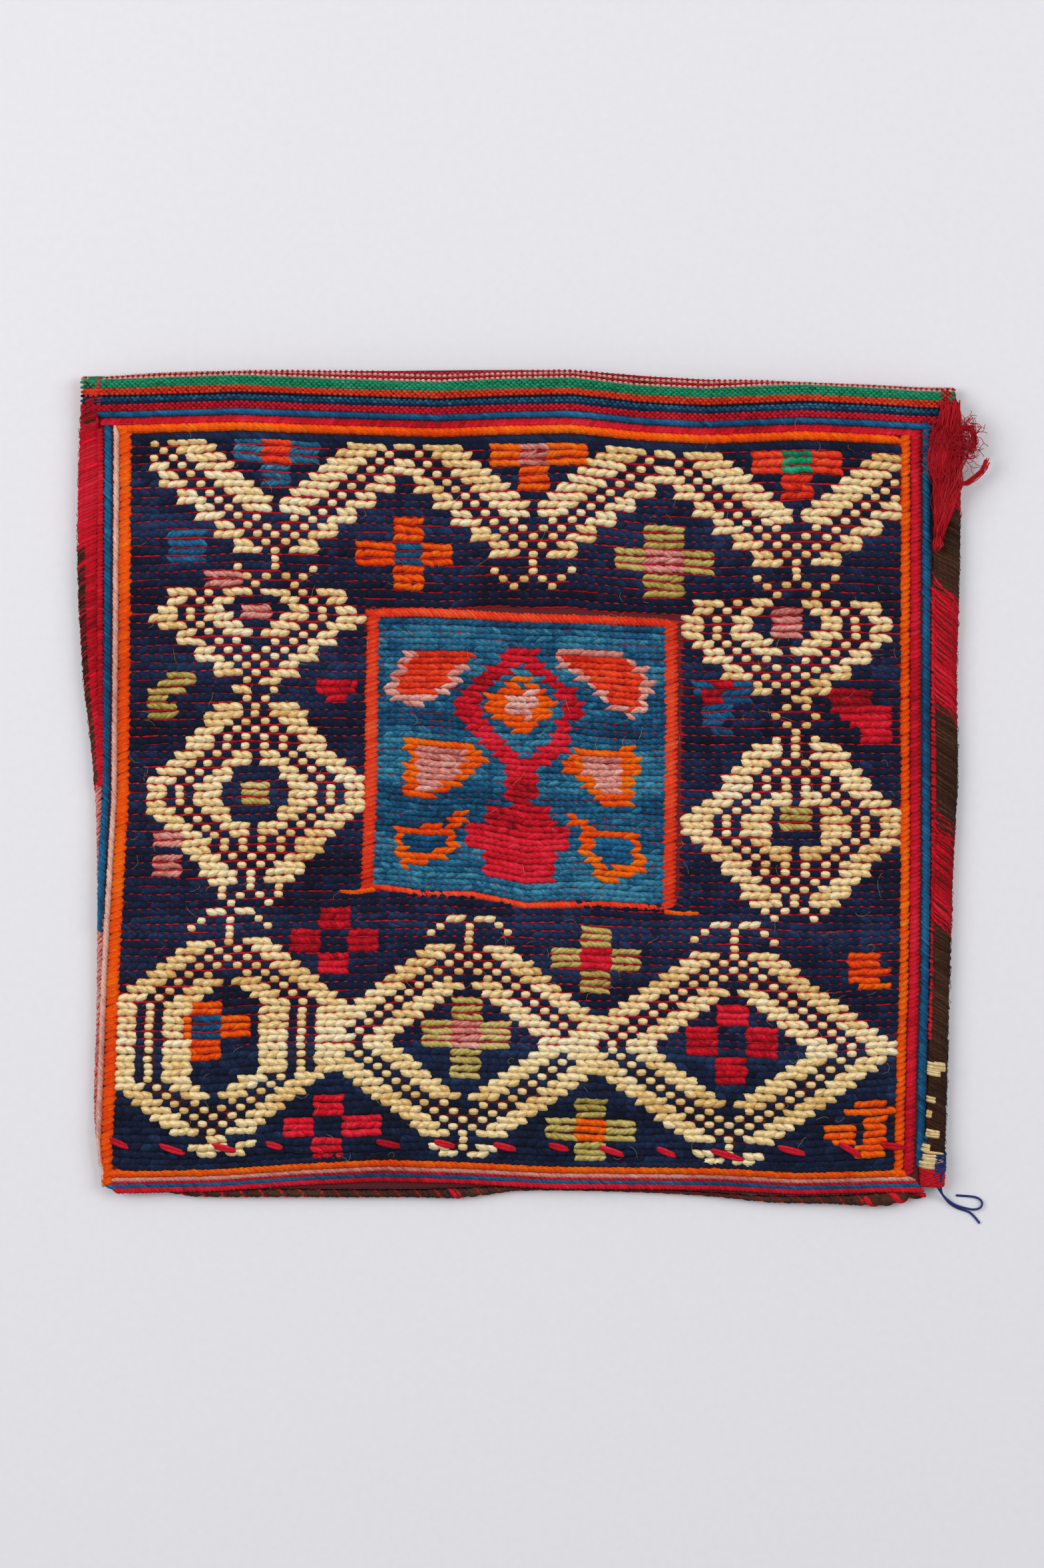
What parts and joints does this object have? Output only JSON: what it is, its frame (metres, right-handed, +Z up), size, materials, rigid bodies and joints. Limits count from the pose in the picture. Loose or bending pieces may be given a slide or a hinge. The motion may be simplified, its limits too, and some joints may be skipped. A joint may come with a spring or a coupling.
{
  "type": "soumak bag",
  "caption": "Flat hand-woven wool bag: patterned wrapped-weave front, plain back, overcast sides and bottom, open mouth with a folded hem, loose yarn tuft.",
  "frame": {"origin": "middle of the back wall's underside, on the surface that the bag lies on", "axes": "+X across the bag to the side with the tuft, +Y towards the mouth, +Z up out of the patterned face"},
  "size_m": [0.3833, 0.3528, 0.0146],
  "materials": {
    "soumak_wool": "wrapped wool weave in many colours on a navy ground",
    "back_wool": "plain-woven wool",
    "left_overcast": "overcast wool yarn, mostly red",
    "right_overcast": "overcast wool yarn, brown and red with cream patches",
    "bottom_cord": "twisted wool cord, brown and red, worn",
    "tuft_wool": "loose fluffy red wool"
  },
  "bodies": {
    "root": {"front_panel": "soumak_wool", "back_panel": "back_wool", "left_binding": "left_overcast", "right_binding": "right_overcast", "bottom_binding": "bottom_cord", "red_tuft": "tuft_wool"}
  },
  "joints": []
}
